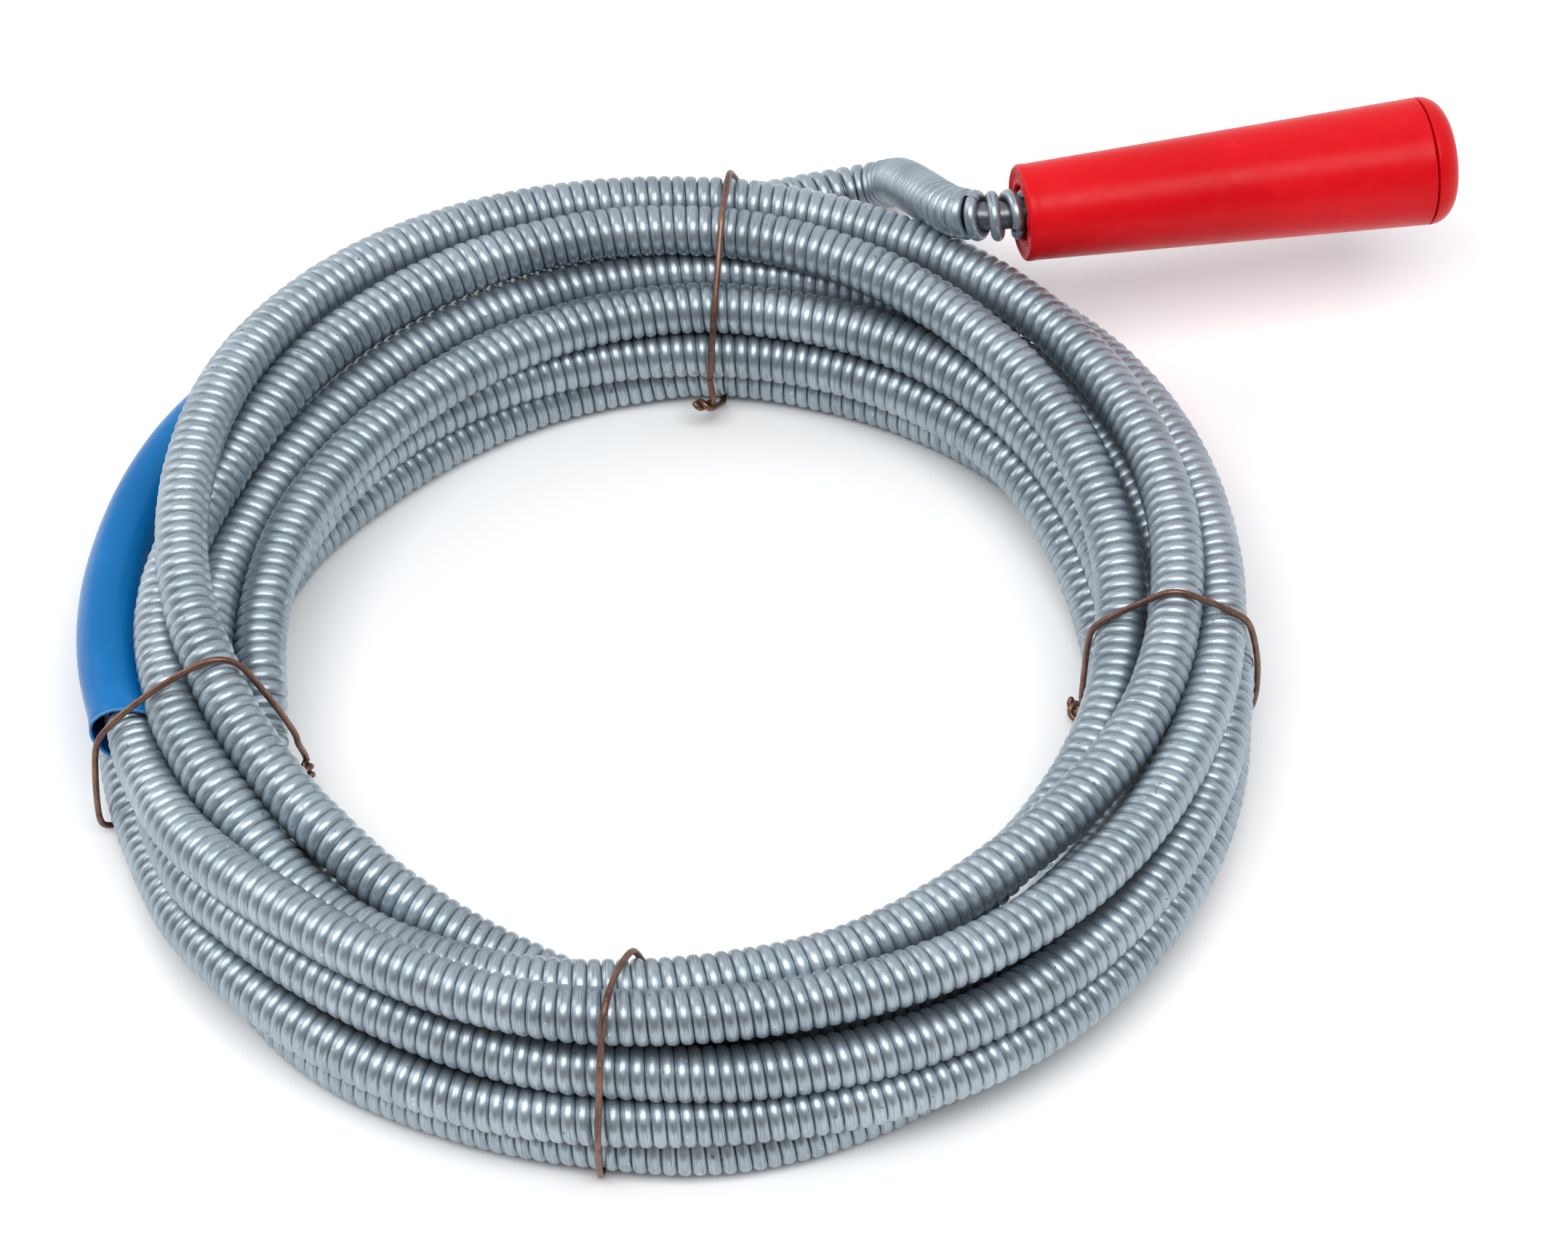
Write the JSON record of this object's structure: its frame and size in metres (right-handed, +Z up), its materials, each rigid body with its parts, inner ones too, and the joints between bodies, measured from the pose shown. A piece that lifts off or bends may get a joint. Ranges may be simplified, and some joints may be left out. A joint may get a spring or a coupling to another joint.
{
  "type": "drain auger",
  "caption": "Hand drain auger: a close-wound steel spiral tied in a coil, with a sliding blue hand sleeve and a crank with a red spinning grip.",
  "frame": {"origin": "middle of the footprint, on the surface the coil lies on", "axes": "+X along the grip's side of the coil, +Z up through the middle of the coil, +Y towards the crank"},
  "size_m": [0.237, 0.2246, 0.0475],
  "materials": {
    "spiral_steel": "zinc-plated drawn wire, soft sheen",
    "rod_steel": "dark plain steel",
    "washer_steel": "plain stamped steel",
    "grip_plastic": "satin moulded plastic",
    "sleeve_plastic": "thin glossy extruded plastic",
    "tie_wire": "annealed copper-brown wire"
  },
  "bodies": {
    "spiral": {"spiral_coil": "spiral_steel", "spiral_sleeve_stretch": "spiral_steel", "spiral_crank_end": "spiral_steel", "spiral_head_end": "spiral_steel", "auger_head": "spiral_steel", "crank_rod": "rod_steel", "thrust_washer": "washer_steel", "retaining_washer": "washer_steel", "wire_tie_back": "tie_wire", "wire_tie_right": "tie_wire", "wire_tie_front": "tie_wire", "wire_tie_left": "tie_wire"},
    "grip": {"handle_grip": "grip_plastic", "grip_end_cap": "grip_plastic"},
    "sleeve": {"hand_sleeve": "sleeve_plastic"}
  },
  "joints": [
    {"name": "grip_spin", "type": "hinge", "parent": "spiral", "child": "grip", "pos_m": [0.04119, 0.06892, 0.0385], "axis": [0.978, 0.2061, -0.0314], "continuous": true},
    {"name": "sleeve_slide", "type": "hinge", "parent": "spiral", "child": "sleeve", "pos_m": [-0.02391, -0.00058, 0.0164], "axis": [0, 0.1253, 0.9921], "range_deg": [-2, 2]}
  ]
}
